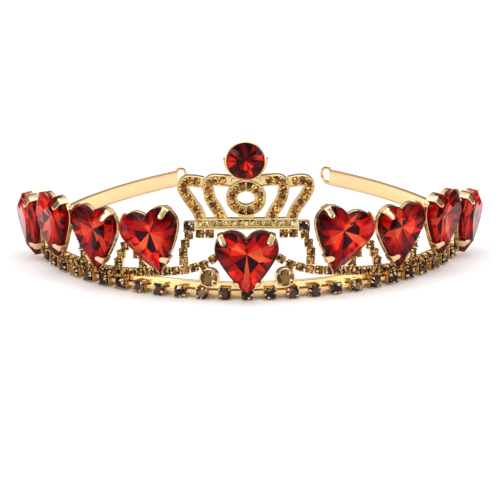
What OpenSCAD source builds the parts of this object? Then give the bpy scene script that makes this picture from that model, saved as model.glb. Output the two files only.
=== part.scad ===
// Rigid tiara: a flat polished headband carrying a cup chain, nine heart
// crystals, a pierced crown plate with pave stones and a round finial crystal.
// Millimetres, +Z up, the wearer looks along -Y. Angles are measured round the
// head from the front centre; positive angles are on the +X side.

/* [Headband] */
// Radius of the middle of the strip round the front and sides
band_r = 58.55; // [50:0.05:70]
// Half angle of that round stretch
band_half_angle = 120.3; // [100:0.1:130]
// Radius of the flatter stretch towards each end
arm_r = 122.8; // [90:0.1:200]
// Angle that the flatter stretch turns through
arm_angle = 19.8; // [5:0.1:25]
// Height of the strip
band_h = 4.6; // [3:0.1:7]
// Thickness of the strip
band_t = 1.1; // [0.6:0.05:2]
// Width of the bevel on the strip's long edges
band_bevel = 0.25; // [0.05:0.05:0.4]

/* [End loops] */
// Diameter of the loop wire
loop_wire_d = 0.9; // [0.6:0.05:1.2]
// Height of the loop between wire centres
loop_h = 4.3; // [3:0.1:4.4]
// Straight part of each loop leg
loop_leg = 1.3; // [0.5:0.1:3]
// Height of the loop's middle above the middle of the strip
loop_rise = 0.45; // [0:0.05:0.5]

/* [Base chain] */
// Stones on each side of the centre one
base_each_side = 12; // [6:1:12]
// Angle between neighbouring stones
base_step = 5.92; // [5.5:0.01:6.5]
// Width and height of a base cup
base_cup_w = 3.5; // [3:0.1:3.8]
// Depth of a base cup from its back to its rim
base_cup_d = 2.2; // [1.8:0.1:2.4]

/* [Fine chain] */
// Width and height of a fine cup
fine_cup_w = 2.5; // [2.2:0.05:2.5]
// Depth of a fine cup from its back to its rim
fine_cup_d = 1.7; // [1.4:0.05:2]
// Angle between neighbouring fine cups on the rail
rail_step = 2.55; // [2.4:0.01:2.8]
// Angle of the first and last fine cup on each rail
rail_start = 8.8; // [8:0.1:10]
rail_end = 67.5; // [50:0.1:68]

/* [Heart crystals] */
// Radius of each upper lobe
lobe_r = 4.79; // [4:0.01:5]
// Distance of each lobe's centre from the middle
lobe_x = 4.01; // [3:0.01:4.2]
// Radius of the long bowed sides
side_r = 40; // [25:1:80]
// Angle below the horizontal where a lobe runs into a side
side_from = 28; // [20:1:40]
// Size of the table against the outline
table_scale = 0.62; // [0.5:0.01:0.7]
// Height of the crown above the girdle
crown_h = 2.1; // [1.5:0.1:2.6]
// Thickness of the girdle
girdle_h = 1.6; // [0.5:0.1:1.8]

/* [Heart settings] */
// Height of the tray wall, which carries the girdle
tray_h = 1.3; // [1.2:0.1:2.4]
// Width of a claw
claw_w = 2.3; // [1:0.1:2.4]
// Width of the middle heart's claws
centre_claw_w = 1.7; // [1:0.1:2.4]
// Thickness of a claw
claw_t = 0.55; // [0.4:0.05:0.8]

/* [Crown plate] */
// Thickness of the cast plate
plate_t = 1.9; // [1.5:0.1:2.4]
// Depth of the channel that holds the pave stones
channel_d = 0.7; // [0.4:0.1:0.9]
// Width of the rim beside a channel
rim_w = 0.38; // [0.3:0.02:0.6]
// Radius of the amber stones in the straps and in the ring, and their spacing
// along the straps
pave_r = 0.92; // [0.7:0.01:0.94]
ring_pave_r = 0.88; // [0.7:0.01:0.88]
pave_pitch = 2.02; // [1.95:0.01:2.2]
// Half length of the bar
bar_x = 14.1; // [13:0.1:14.2]
// Height of the bar
bar_h = 3.1; // [2.8:0.1:3.4]
// Height of the bar's lower edge above the band's lower edge
bar_z = 20.95; // [20.9:0.05:21.5]
// Width of each curved strap
strap_w = 3.2; // [2.6:0.1:3.4]
// Half width and half height of the middle ring, to the middle of its strap
ring_x = 3.95; // [3.8:0.05:4.2]
ring_z = 3.45; // [3.3:0.05:3.6]

/* [Finial] */
// Diameter of the round crystal
finial_d = 10.4; // [9.8:0.1:10.6]
// Outer diameter of the bezel
bezel_d = 11.1; // [11:0.1:11.4]
// Outer radius of the half ring that carries the bezel
cradle_r = 6.15; // [6:0.05:6.4]

/* [Drop stones] */
// Outer diameter of the drop cup
drop_d = 5.5; // [5:0.1:5.6]

/* [Hidden] */
$fn = 64;

gold = "#d9b25a";
pale_gold = "#e3c987";
red = "#c01010";
wine = "#7a0c16";
smoke = "#5a4334";
topaz = "#7d5c2a";
amber = "#b5691c";
champagne = "#b08a3e";

band_out = band_r + band_t / 2;
// Every setting that stands in front of the chains has its back here
front_r = band_out + 2.85;
claw_rise = 0.65;
stone_rise = 0.55;
base_z = base_cup_w / 2;
fine_back = front_r - fine_cup_d - 0.5;

// The round stretch runs this far into each arm, so that they are one solid
arm_lap = 0.4;
// The arm's centre of curvature, and the place and heading of its end
arm_end = band_half_angle + arm_angle;
arm_c = (band_r - arm_r) * [sin(band_half_angle), -cos(band_half_angle)];
end_y = arm_c.y - arm_r * cos(arm_end);
loop_reach = loop_leg + (loop_h + loop_wire_d) / 2;
back_y = end_y + loop_reach * sin(arm_end);
front_y = -(front_r + tray_h + girdle_h + crown_h);
// The ring's centre, so that the whole part is centred on the Z axis
ring_y = -(front_y + back_y) / 2;

// Heart places: angle round the head, height of the lobe centres, lean of the
// top away from the middle, outward tilt, distance of the tray's back, and how
// far the heart faces further round than its place.
hearts = [
    [25.0, 20.4, 16.5, 1.0, front_r + 0.25, 0],
    [41.4, 18.8, 4.5, 2.0, front_r + 0.50, 3],
    [57.9, 18.6, 5.0, 4.0, front_r + 0.60, 3],
    [75.4, 14.1, 10.0, 7.0, front_r + 0.60, -1.5]
];
centre_z = 15.45;
heart_mid = [0, -2.6];
// The outermost heart's post on the band: angle and height, and diameter
post = [74.2, 3.1];
post_d = 1.8;

// Height of the rail over the base chain, against the angle
rail_line = [
    [8, 12.1], [8.8, 11.5], [11, 9.9], [13.4, 9.0], [16, 8.05], [20, 7.3],
    [26, 6.4], [32, 5.6], [38, 4.95], [43, 4.78], [90, 4.78]
];
column = [[15.2, 18.0], [16.2, 15.5], [16.8, 13.0], [16.7, 10.5]];
bridge = [[9.6, 18.7], [12.2, 18.6]];
legs = [
    [[28.3, 8.6], [30.0, 10.9]],
    [[36.1, 7.66], [35.2, 10.16], [33.9, 12.66]],
    [[49.0, 7.35], [49.4, 9.85], [50.1, 12.35], [50.9, 14.85]],
    [[66.8, 7.35], [66.9, 9.85], [67.0, 12.35]]
];
corner = [14.75, 20.9];
corner_back = front_r - 1.5;
corner_cup_w = 3.2;
corner_cup_d = 2.2;
drop = [9.75, 6.4];
drop_back = front_r - 1.9;
drop_cup_h = 2.2;
// Width of the flat bars between the fine cups
fine_link_w = 0.7;
rail_angles = [rail_start : rail_step : rail_end];

// ---- placing ---------------------------------------------------------------

// Puts children at an angle round the head, a distance from its centre and a
// height. Their +Z then points outwards, +Y up and +X along the ring.
module at_ring(angle, r, z, tilt = 0) {
    translate([0, ring_y, 0]) rotate([0, 0, angle]) translate([0, -r, z])
        rotate([90 + tilt, 0, 0]) children();
}

// side is 1 on the +X half and -1 on the -X half
module at_heart(side, place) {
    at_ring(side * place[0], place[4], place[1], place[3])
        rotate([0, side * place[5], 0]) rotate([0, 0, -side * place[2]]) children();
}

// ---- headband --------------------------------------------------------------

module strip_section(r) {
    i = r - band_t / 2;
    o = r + band_t / 2;
    b = band_bevel;
    polygon([[i + b, 0], [o - b, 0], [o, b], [o, band_h - b], [o - b, band_h],
             [i + b, band_h], [i, band_h - b], [i, b]]);
}

module arm() {
    translate([arm_c.x, arm_c.y, 0]) rotate([0, 0, band_half_angle - 90])
        rotate_extrude(angle = arm_angle, $fn = 360) strip_section(arm_r);
}

module headband() {
    color(gold) translate([0, ring_y, 0]) {
        rotate([0, 0, -90 - band_half_angle - arm_lap])
            rotate_extrude(angle = 2 * (band_half_angle + arm_lap), $fn = 360) strip_section(band_r);
        arm();
        mirror([1, 0, 0]) arm();
    }
}

// A wire bow whose two legs are soldered to the end of the strip
module end_loop() {
    color(gold) translate([arm_c.x, arm_c.y + ring_y, 0]) rotate([0, 0, arm_end])
        translate([0, -arm_r, band_h / 2 + loop_rise]) rotate([90, 0, 0]) {
            translate([loop_leg, 0, 0]) rotate([0, 0, -90])
                rotate_extrude(angle = 180) translate([loop_h / 2, 0]) circle(d = loop_wire_d);
            for (s = [-1, 1]) translate([0, s * loop_h / 2, 0])
                rotate([0, 90, 0]) cylinder(d = loop_wire_d, h = loop_leg);
        }
}

// ---- small claw-set stones -------------------------------------------------

// Square cup with four corner claws, its back on z = 0
module cup(w, d) {
    wall = 0.32;
    claw = 0.5;
    difference() {
        translate([-w / 2, -w / 2, 0]) cube([w, w, d]);
        translate([wall - w / 2, wall - w / 2, 0.4]) cube([w - 2 * wall, w - 2 * wall, d]);
    }
    for (x = [-1, 1], y = [-1, 1])
        translate([x * (w - claw) / 2 - claw / 2, y * (w - claw) / 2 - claw / 2, d - 0.3])
            cube([claw, claw, claw_rise_of(w) + 0.3]);
}

function claw_rise_of(w) = w > 3 ? claw_rise : 0.5;
function stone_rise_of(w) = w > 3 ? stone_rise : 0.4;

// Round stone for that cup: pavilion, girdle, crown and table
module stone(w, d) {
    r = w / 2 - 0.34;
    rise = stone_rise_of(w);
    rotate_extrude() polygon([[0, 0.45], [r * 0.25, 0.45], [r, d - 0.05], [r, d + 0.12],
                              [r * 0.62, d + rise], [0, d + rise]]);
}

module base_chain_cups() {
    color(gold) for (n = [-base_each_side : base_each_side])
        at_ring(n * base_step, band_out, base_z) cup(base_cup_w, base_cup_d);
}

module base_chain_stones() {
    color(smoke) for (n = [-base_each_side : base_each_side])
        at_ring(n * base_step, band_out, base_z) stone(base_cup_w, base_cup_d);
}

module base_chain_links() {
    gap = 2 * (band_out + 0.3) * sin(base_step / 2) - base_cup_w;
    color(gold) for (n = [-base_each_side : base_each_side - 1])
        at_ring((n + 0.5) * base_step, band_out + 0.3, base_z)
            translate([-gap / 2, -0.3, 0]) cube([gap, 0.9, 0.9]);
}

// Slope of the rail at an angle, as the turn that lines a cup up with it
function rail_z(a) = lookup(a, rail_line);
function rail_turn(a) =
    atan2(rail_z(a + 1) - rail_z(a - 1), 2 * PI / 180 * (fine_back + fine_cup_d));

module fine_link(length) {
    translate([-length / 2, -fine_link_w / 2, 0.05]) cube([length, fine_link_w, 0.4]);
}

module rail_chain(side) {
    color(gold) for (a = rail_angles) {
        at_ring(side * a, fine_back, rail_z(a)) rotate([0, 0, side * rail_turn(a)])
            cup(fine_cup_w, fine_cup_d);
        if (a + rail_step <= rail_end) let (m = a + rail_step / 2)
            at_ring(side * m, fine_back, rail_z(m)) rotate([0, 0, side * rail_turn(m)])
                fine_link(1);
    }
}

module rail_stones(side) {
    color(topaz) for (a = rail_angles)
        at_ring(side * a, fine_back, rail_z(a)) stone(fine_cup_w, fine_cup_d);
}

// Short chain through a list of [angle, height] places, with a link between
// each two cups
module short_chain(side, places) {
    color(gold) {
        for (p = places)
            at_ring(side * p[0], fine_back, p[1]) cup(fine_cup_w, fine_cup_d);
        for (i = [0 : len(places) - 2]) let (p = (places[i] + places[i + 1]) / 2)
            at_ring(side * p[0], fine_back, p[1]) fine_link(0.7);
    }
}

module short_chain_stones(side, places) {
    color(topaz) for (p = places)
        at_ring(side * p[0], fine_back, p[1]) stone(fine_cup_w, fine_cup_d);
}

// The bridge runs level, so its link lies along the ring, and a last link
// reaches the middle heart's tray
module bridge_chain(side) {
    reach = 1.9;
    from = fine_cup_w / 2 - 0.2;
    color(gold) {
        for (p = bridge)
            at_ring(side * p[0], fine_back, p[1]) cup(fine_cup_w, fine_cup_d);
        at_ring(side * (bridge[0][0] + bridge[1][0]) / 2, fine_back, bridge[0][1]) fine_link(1);
        at_ring(side * bridge[0][0], front_r - 1.2, bridge[0][1])
            translate([side > 0 ? -reach : from, -fine_link_w / 2, 0])
                cube([reach - from, fine_link_w, 0.9]);
    }
}

// ---- larger single stones --------------------------------------------------

module corner_cup(side) {
    color(gold) at_ring(side * corner[0], corner_back, corner[1]) cup(corner_cup_w, corner_cup_d);
}

module corner_stone(side) {
    color(smoke) at_ring(side * corner[0], corner_back, corner[1]) stone(corner_cup_w, corner_cup_d);
}

module drop_cup(side) {
    wall = 0.4;
    claw = [0.36, 0.8, 1.0];
    color(gold) at_ring(side * drop[0], drop_back, drop[1]) {
        difference() {
            cylinder(d = drop_d, h = drop_cup_h);
            translate([0, 0, 0.5]) cylinder(d = drop_d - 2 * wall, h = drop_cup_h);
        }
        for (a = [45 : 90 : 315]) rotate([0, 0, a])
            translate([drop_d / 2 - claw.x - 0.02, -claw.y / 2, drop_cup_h - 0.3]) cube(claw);
    }
}

module drop_stone(side) {
    r = drop_d / 2 - 0.42;
    color(champagne) at_ring(side * drop[0], drop_back, drop[1])
        rotate_extrude() polygon([[0, 0.55], [0.6, 0.55], [r, drop_cup_h - 0.1], [r, drop_cup_h + 0.2],
                                  [r * 0.58, drop_cup_h + 1.1], [0, drop_cup_h + 1.1]]);
}

// ---- heart crystals and their settings -------------------------------------

// Half outline from the notch to the tip, grown by g
function lobe_start(g) = acos(-lobe_x / (lobe_r + g));
side_c = [lobe_x - (side_r - lobe_r) * cos(side_from), (side_r - lobe_r) * sin(side_from)];
function side_end(g) = -acos(-side_c.x / (side_r + g));
function arc(c, r, a, b, n) = [for (i = [0 : n]) let (t = a + (b - a) * i / n) c + r * [cos(t), sin(t)]];
function heart_half(g) = concat(
    arc([lobe_x, 0], lobe_r + g, lobe_start(g), -side_from, 12),
    [for (p = arc(side_c, side_r + g, -side_from, side_end(g), 4)) if (p.y < -3.2) p]);
function heart_outline(g) = let (h = heart_half(g), n = len(h))
    concat(h, [for (i = [n - 2 : -1 : 1]) [-h[i].x, h[i].y]]);
// Shrinks an outline towards the middle of the heart
function shrunk(points, k) = [for (p = points) heart_mid + k * (p - heart_mid)];
function lift(points, z) = [for (p = points) [p.x, p.y, z]];

module heart_crystal_shape() {
    inner = heart_outline(-0.5);
    full = heart_outline(0);
    n = len(full);
    rings = [lift(shrunk(inner, 0.45), 0.75), lift(inner, tray_h), lift(full, tray_h),
             lift(full, tray_h + girdle_h),
             lift(shrunk(full, table_scale), tray_h + girdle_h + crown_h)];
    points = [for (ring = rings) for (p = ring) p];
    last = len(rings) - 1;
    polyhedron(points, concat(
        [[for (i = [0 : n - 1]) i]],
        [for (k = [0 : last - 1], i = [0 : n - 1])
            let (j = (i + 1) % n) each [
                [k * n + i, (k + 1) * n + i, (k + 1) * n + j],
                [k * n + i, (k + 1) * n + j, k * n + j]]],
        [[for (i = [n - 1 : -1 : 0]) last * n + i]]));
}

// A claw of width w at an outline point: up the tray's wall, then, if reach > 0,
// over the crown. heading is the angle it faces outwards at.
module claw(point, heading, reach, slope, w) {
    g = tray_h + girdle_h;
    o = 0.15 + claw_t;
    hook = [[o, g + 0.2], [o - 0.3, g + 0.6], [-reach, g + 0.66 + reach * slope],
            [-reach, g + 0.1 + reach * slope], [0.15, g - 0.02]];
    tab = [[o, g - 0.1], [0.15, g]];
    translate(point) rotate([0, 0, heading]) intersection() {
        rotate([90, 0, 0]) translate([0, 0, -w / 2]) linear_extrude(w)
            polygon(concat([[-0.2, tray_h], [-0.2, 0.6], [o, 0.6]], reach > 0 ? hook : tab, [[0.15, tray_h]]));
        linear_extrude(tray_h + girdle_h + crown_h + 2) {
            translate([-max(reach, 0.01) + w / 2, -w / 2]) square([reach + o, w]);
            translate([-max(reach, 0.01) + w / 2, 0]) circle(d = w);
            translate([-0.3, -w / 2]) square([o + 0.3, w]);
        }
    }
}

// inner is the side whose claws reach over the crown: 1, -1, or 0 for both. The
// middle heart, with 0, has narrower claws that stand steeper.
module heart_setting_shape(inner) {
    shoulder = 50;
    low = side_end(0) + 6;
    w = inner == 0 ? centre_claw_w : claw_w;
    steeper = inner == 0 ? 14 : 0;
    low_reach = inner == 0 ? 0.8 : 1.4;
    difference() {
        linear_extrude(tray_h) polygon(heart_outline(0.15));
        translate([0, 0, 0.5]) linear_extrude(tray_h) polygon(heart_outline(-0.4));
        translate([0, 0, -1]) linear_extrude(3) polygon(shrunk(heart_outline(-0.5), 0.6));
    }
    for (s = [-1, 1]) {
        reach = inner == 0 || s == inner ? 1 : 0;
        mirror([s < 0 ? 1 : 0, 0, 0]) {
            claw([lobe_x, 0] + lobe_r * [cos(shoulder), sin(shoulder)], shoulder + steeper, 2.3 * reach, 0.59, w);
            claw(side_c + side_r * [cos(low), sin(low)], low, low_reach * reach, 0.76, w);
        }
    }
}

module centre_heart_setting() {
    color(gold) at_ring(0, front_r, centre_z) heart_setting_shape(0);
}

module centre_heart_crystal() {
    color(red) at_ring(0, front_r, centre_z) heart_crystal_shape();
}

module side_heart_setting(side, n) {
    color(gold) at_heart(side, hearts[4 - n]) heart_setting_shape(-side);
    if (n == 1) color(gold) at_ring(side * post[0], band_out, post[1]) cylinder(d = post_d, h = 2.3);
}

module side_heart_crystal(side, n) {
    color(red) at_heart(side, hearts[4 - n]) heart_crystal_shape();
}

// ---- crown plate -----------------------------------------------------------

// Middle lines of the two straps on the +X side, from the bar upwards: a
// slender S, a round shoulder and a short run back towards the middle
shoulder_r = 1.75;
outer_line = concat(
    curve([[12.3, 23.5], [13.2, 26.0], [14.7, 28.3], [16.2, 30.5], [17.25, 32.6]]),
    arc([15.55, 32.95], shoulder_r, 8, 98, 5), [[13.6, 34.55], [11.6, 34.1]]);
inner_line = concat(
    curve([[6.5, 23.5], [7.4, 25.6], [8.7, 27.6], [9.8, 29.8], [10.3, 32.5]]),
    arc([8.6, 33.1], shoulder_r, 8, 98, 5), [[5.3, 34.65], [3.9, 34.4]]);
ring_c = [0, 29.75];
plate_y = front_r + 0.15;
// The foot between the bar and the ring, and the crest between ring and cradle
foot_w = 4.4;
crest_w = 8.4;
crest_h = 2.2;

// Smooth curve through the points, four steps to each span
function curve(p, n = 4) = let (e = len(p) - 1) concat(
    [for (i = [0 : e - 1], j = [0 : n - 1])
        let (t = j / n, a = p[max(i - 1, 0)], b = p[i], c = p[i + 1], d = p[min(i + 2, e)])
        0.5 * (2 * b + t * (c - a) + t * t * (2 * a - 5 * b + 4 * c - d)
               + t * t * t * (3 * b - a - 3 * c + d))],
    [p[e]]);
function unit(v) = v / norm(v);
function side_of(p, i) = let (e = len(p) - 1, t = unit(p[min(i + 1, e)] - p[max(i - 1, 0)])) [-t.y, t.x];
function ribbon(p, w) = concat(
    [for (i = [0 : len(p) - 1]) p[i] + w / 2 * side_of(p, i)],
    [for (i = [len(p) - 1 : -1 : 0]) p[i] - w / 2 * side_of(p, i)]);
function ring_points(grow) = [for (a = [5 : 10 : 355])
    ring_c + [(ring_x + grow) * cos(a), (ring_z + grow) * sin(a)]];

// A strap's channel stops short of both of its ends
function channel_line(p) = [for (i = [3 : len(p) - 2]) p[i]];

// The plate's outline, or with shrink > 0 the outline of its channels
module plate_outline(shrink) {
    w = strap_w - 2 * shrink;
    for (s = [0, 1], line = [outer_line, inner_line]) mirror([s, 0, 0])
        polygon(ribbon(shrink > 0 ? channel_line(line) : line, w));
    difference() {
        polygon(ring_points(w / 2));
        polygon(ring_points(-w / 2));
    }
    translate([shrink - bar_x, bar_z + shrink]) square([2 * (bar_x - shrink), bar_h - 2 * shrink]);
}

module cradle_round(r, y0, y1) {
    translate([0, ring_y - y0, cradle_z]) rotate([90, 0, 0]) cylinder(r = r, h = y1 - y0);
}

module crown_plate() {
    color(pale_gold) difference() {
        translate([0, ring_y - plate_y, 0]) rotate([90, 0, 0]) difference() {
            linear_extrude(plate_t) {
                plate_outline(0);
                translate([-foot_w / 2, bar_z + 1]) square([foot_w, ring_c.y - ring_z - bar_z - 1]);
                translate([-crest_w / 2, ring_c.y + ring_z + 1]) square([crest_w, crest_h]);
            }
            translate([0, 0, plate_t - channel_d]) linear_extrude(plate_t) plate_outline(rim_w);
        }
        cradle_round(cradle_r + 0.01, plate_y - 2, plate_y + plate_t + 2);
    }
}

// Flat-backed stone that lies in a channel
module pave_stone(p, r) {
    translate([p.x, ring_y - plate_y - plate_t + channel_d, p.y]) rotate([90, 0, 0])
        rotate_extrude($fn = 24) polygon([[0, 0], [r, 0], [r, 0.3], [r * 0.6, 0.75], [0, 0.75]]);
}

// Point part-way along a line, found by its length
function lengths(p, i = 0, sum = 0, out = []) =
    i >= len(p) ? out
    : lengths(p, i + 1, sum + (i > 0 ? norm(p[i] - p[i - 1]) : 0),
              concat(out, [sum + (i > 0 ? norm(p[i] - p[i - 1]) : 0)]));
function along(p, s) = let (l = lengths(p))
    [lookup(s, [for (i = [0 : len(p) - 1]) [l[i], p[i].x]]),
     lookup(s, [for (i = [0 : len(p) - 1]) [l[i], p[i].y]])];
function spaced(p, first, pitch, n) = [for (i = [0 : n - 1]) along(p, first + i * pitch)];

module crown_plate_stones() {
    color(amber) {
        for (s = [0, 1]) mirror([s, 0, 0]) {
            for (p = spaced(outer_line, 1.5, pave_pitch, 8)) pave_stone(p, pave_r);
            for (p = spaced(inner_line, 1.4, pave_pitch, 8)) pave_stone(p, pave_r);
        }
        for (a = [15 : 30 : 345])
            pave_stone(ring_c + [ring_x * cos(a), ring_z * sin(a)], ring_pave_r);
    }
}

module crown_bar_stones() {
    color(champagne) for (i = [-7 : 7])
        pave_stone([i * 1.8, bar_z + bar_h / 2], 0.8);
}

// ---- finial ----------------------------------------------------------------

finial_z = 40.5;
cradle_z = finial_z + 0.4;
finial_y = front_r + 0.1;

module finial_cradle() {
    color(gold) difference() {
        intersection() {
            cradle_round(cradle_r, finial_y + 0.2, finial_y + 2.2);
            translate([-cradle_r, ring_y - finial_y - 5, 30]) cube([2 * cradle_r, 10, cradle_z - 30]);
        }
        cradle_round(cradle_r - 0.55, finial_y - 2, finial_y + 5);
        translate([0, ring_y - finial_y + 2, finial_z]) rotate([90, 0, 0])
            cylinder(d = bezel_d + 0.02, h = 8);
    }
}

module at_finial() {
    translate([0, ring_y - finial_y, finial_z]) rotate([90, 0, 0]) children();
}

module finial_bezel() {
    color(gold) at_finial() rotate_extrude()
        polygon([[0, 0], [bezel_d / 2, 0], [bezel_d / 2, 2.9], [finial_d / 2 + 0.05, 2.9],
                 [finial_d / 2 + 0.05, 2.2], [finial_d / 2 - 0.3, 2.2], [finial_d / 2 - 0.3, 0.5], [0, 0.5]]);
}

module finial_crystal() {
    r = finial_d / 2;
    color(wine) at_finial() rotate_extrude()
        polygon([[0, 0.6], [r - 0.5, 2.2], [r, 2.2], [r, 2.8], [r * 0.55, 4.0], [0, 4.3]]);
}

// ---- nodes -----------------------------------------------------------------

headband();
mirror([1, 0, 0]) end_loop();  // left_end_loop
end_loop();  // right_end_loop
base_chain_cups();
base_chain_links();
base_chain_stones();
rail_chain(-1);  // left_rail_chain
rail_chain(1);  // right_rail_chain
rail_stones(-1);  // left_rail_stones
rail_stones(1);  // right_rail_stones
short_chain(-1, column);  // left_column_chain
short_chain(1, column);  // right_column_chain
short_chain_stones(-1, column);  // left_column_stones
short_chain_stones(1, column);  // right_column_stones
corner_cup(-1);  // left_corner_cup
corner_cup(1);  // right_corner_cup
corner_stone(-1);  // left_corner_stone
corner_stone(1);  // right_corner_stone
bridge_chain(-1);  // left_bridge_chain
bridge_chain(1);  // right_bridge_chain
short_chain_stones(-1, bridge);  // left_bridge_stones
short_chain_stones(1, bridge);  // right_bridge_stones
for (leg = legs) short_chain(-1, leg);  // left_leg_chains
for (leg = legs) short_chain(1, leg);  // right_leg_chains
for (leg = legs) short_chain_stones(-1, leg);  // left_leg_stones
for (leg = legs) short_chain_stones(1, leg);  // right_leg_stones
drop_cup(-1);  // left_drop_cup
drop_cup(1);  // right_drop_cup
drop_stone(-1);  // left_drop_stone
drop_stone(1);  // right_drop_stone
centre_heart_setting();
side_heart_setting(-1, 1);  // left_heart_1_setting
side_heart_setting(-1, 2);  // left_heart_2_setting
side_heart_setting(-1, 3);  // left_heart_3_setting
side_heart_setting(-1, 4);  // left_heart_4_setting
side_heart_setting(1, 1);  // right_heart_1_setting
side_heart_setting(1, 2);  // right_heart_2_setting
side_heart_setting(1, 3);  // right_heart_3_setting
side_heart_setting(1, 4);  // right_heart_4_setting
centre_heart_crystal();
side_heart_crystal(-1, 1);  // left_heart_1_crystal
side_heart_crystal(-1, 2);  // left_heart_2_crystal
side_heart_crystal(-1, 3);  // left_heart_3_crystal
side_heart_crystal(-1, 4);  // left_heart_4_crystal
side_heart_crystal(1, 1);  // right_heart_1_crystal
side_heart_crystal(1, 2);  // right_heart_2_crystal
side_heart_crystal(1, 3);  // right_heart_3_crystal
side_heart_crystal(1, 4);  // right_heart_4_crystal
crown_plate();
crown_plate_stones();
crown_bar_stones();
finial_cradle();
finial_bezel();
finial_crystal();
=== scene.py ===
import math

import bmesh
import bpy
from mathutils import Matrix, Vector


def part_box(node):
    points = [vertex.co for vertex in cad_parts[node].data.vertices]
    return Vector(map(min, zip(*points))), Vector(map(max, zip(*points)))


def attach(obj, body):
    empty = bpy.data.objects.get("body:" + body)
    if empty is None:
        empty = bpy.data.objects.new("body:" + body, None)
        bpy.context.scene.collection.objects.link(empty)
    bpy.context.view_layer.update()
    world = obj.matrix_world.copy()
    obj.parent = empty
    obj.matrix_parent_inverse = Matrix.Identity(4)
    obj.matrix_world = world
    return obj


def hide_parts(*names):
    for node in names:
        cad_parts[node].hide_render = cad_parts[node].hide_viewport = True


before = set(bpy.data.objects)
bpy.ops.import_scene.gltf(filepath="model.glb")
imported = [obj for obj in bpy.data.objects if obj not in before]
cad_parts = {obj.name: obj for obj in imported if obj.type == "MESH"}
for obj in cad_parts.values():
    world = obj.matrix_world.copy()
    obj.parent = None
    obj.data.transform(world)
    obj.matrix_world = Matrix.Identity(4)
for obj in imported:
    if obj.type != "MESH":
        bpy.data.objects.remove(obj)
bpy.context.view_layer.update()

# ---- sizes of the real piece, in millimetres --------------------------------

MM = 0.001
BAND_R = 58.55
BAND_HALF_ANGLE = 120.3
ARM_R = 122.8
ARM_ANGLE = 19.8
BAND_H = 4.6
BAND_T = 1.1
BAND_OUT = BAND_R + BAND_T / 2
FRONT_R = BAND_OUT + 2.85
# The centre of the band's round stretch, from the band's own place
RING_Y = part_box("headband")[0].y / MM + BAND_OUT

# End loops: their wire, height and leg, and how far they stand above the middle of the strip
LOOP_WIRE_R = 0.45
LOOP_H = 4.3
LOOP_LEG = 1.3
LOOP_RISE = 0.45

# Cup chains: angles in degrees round the head, and heights
BASE_EACH_SIDE = 12
BASE_STEP = 5.92
BASE_CUP_W = 3.5
BASE_CUP_D = 2.2
FINE_CUP_W = 2.5
FINE_CUP_D = 1.7
FINE_BACK = FRONT_R - FINE_CUP_D - 0.5
RAIL_START = 8.8
RAIL_STEP = 2.55
RAIL_COUNT = 24
RAIL_LINE = [
    (8, 12.1), (8.8, 11.5), (11, 9.9), (13.4, 9.0), (16, 8.05), (20, 7.3),
    (26, 6.4), (32, 5.6), (38, 4.95), (43, 4.78), (90, 4.78),
]
COLUMN = [(15.2, 18.0), (16.2, 15.5), (16.8, 13.0), (16.7, 10.5)]
BRIDGE = [(9.6, 18.7), (12.2, 18.6)]
LEGS = [
    [(28.3, 8.6), (30.0, 10.9)],
    [(36.1, 7.66), (35.2, 10.16), (33.9, 12.66)],
    [(49.0, 7.35), (49.4, 9.85), (50.1, 12.35), (50.9, 14.85)],
    [(66.8, 7.35), (66.9, 9.85), (67.0, 12.35)],
]
CORNER = (14.75, 20.9)
CORNER_BACK = FRONT_R - 1.5
CORNER_CUP_W = 3.2
CORNER_CUP_D = 2.2
DROP = (9.75, 6.4)
DROP_BACK = FRONT_R - 1.9
DROP_D = 5.5
DROP_CUP_D = 2.2

# Heart outline: two round lobes, two long bowed sides, and the middle that it shrinks towards
LOBE_R = 4.79
LOBE_X = 4.01
SIDE_R = 40.0
SIDE_FROM = math.radians(28)
SIDE_C = (
    LOBE_X - (SIDE_R - LOBE_R) * math.cos(SIDE_FROM),
    (SIDE_R - LOBE_R) * math.sin(SIDE_FROM),
)
HEART_MID = Vector((0, -2.6))
TRAY_H = 1.3
GIRDLE_H = 1.6
CROWN_H = 2.1
# Sizes of the crystal's table and of the flat at its back, against the outline
TABLE_SCALE = 0.64
BACK_SCALE = 0.45
CLAW_T = 0.55
# Width of the claws, and the share of it that folds over the crystal
SIDE_CLAW = (2.3, 0.74)
CENTRE_CLAW = (1.7, 1.0)
CENTRE_Z = 15.45
# The outermost heart's post: angle and height, radius, and reach from the band
POST = (74.2, 3.1)
POST_R = 0.9
POST_H = 2.3
# Number from the outside: angle, height, lean, tilt, distance of the tray's back, further turn
HEARTS = {
    4: (25.0, 20.4, 16.5, 1.0, FRONT_R + 0.25, 0.0),
    3: (41.4, 18.8, 4.5, 2.0, FRONT_R + 0.50, 3.0),
    2: (57.9, 18.6, 5.0, 4.0, FRONT_R + 0.60, 3.0),
    1: (75.4, 14.1, 10.0, 7.0, FRONT_R + 0.60, -1.5),
}

PLATE_BACK = FRONT_R + 0.15
PLATE_T = 1.9
CHANNEL_D = 0.7
STRAP_W = 3.2
BAR_X = 14.1
BAR_Z = 20.95
BAR_H = 3.1
RING_MID = (0, 29.75)
RING_X = 3.95
RING_Z = 3.45
RING_STONES = 12
# Pave: stones of each strap, their pitch, and where the first one lies along its strap
STRAP_STONES = 8
PAVE_PITCH = 2.02
OUTER_FIRST = 1.5
INNER_FIRST = 1.4
BAR_EACH_SIDE = 7
BAR_PITCH = 1.8
# Radius of the stones, and how far the grains between them stand from their row
STRAP_PAVE = (1.0, 1.05)
RING_PAVE = (0.93, 0.95)
BAR_PAVE = (0.8, 0.8)
FINIAL_Z = 40.5
FINIAL_BACK = FRONT_R + 0.1
FINIAL_D = 10.4
BEZEL_D = 11.1
BEZEL_H = 2.9
CRADLE_R = 6.15
CRADLE_RISE = 0.4


# ---- shapes: lists of points and faces, in millimetres ----------------------

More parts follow.
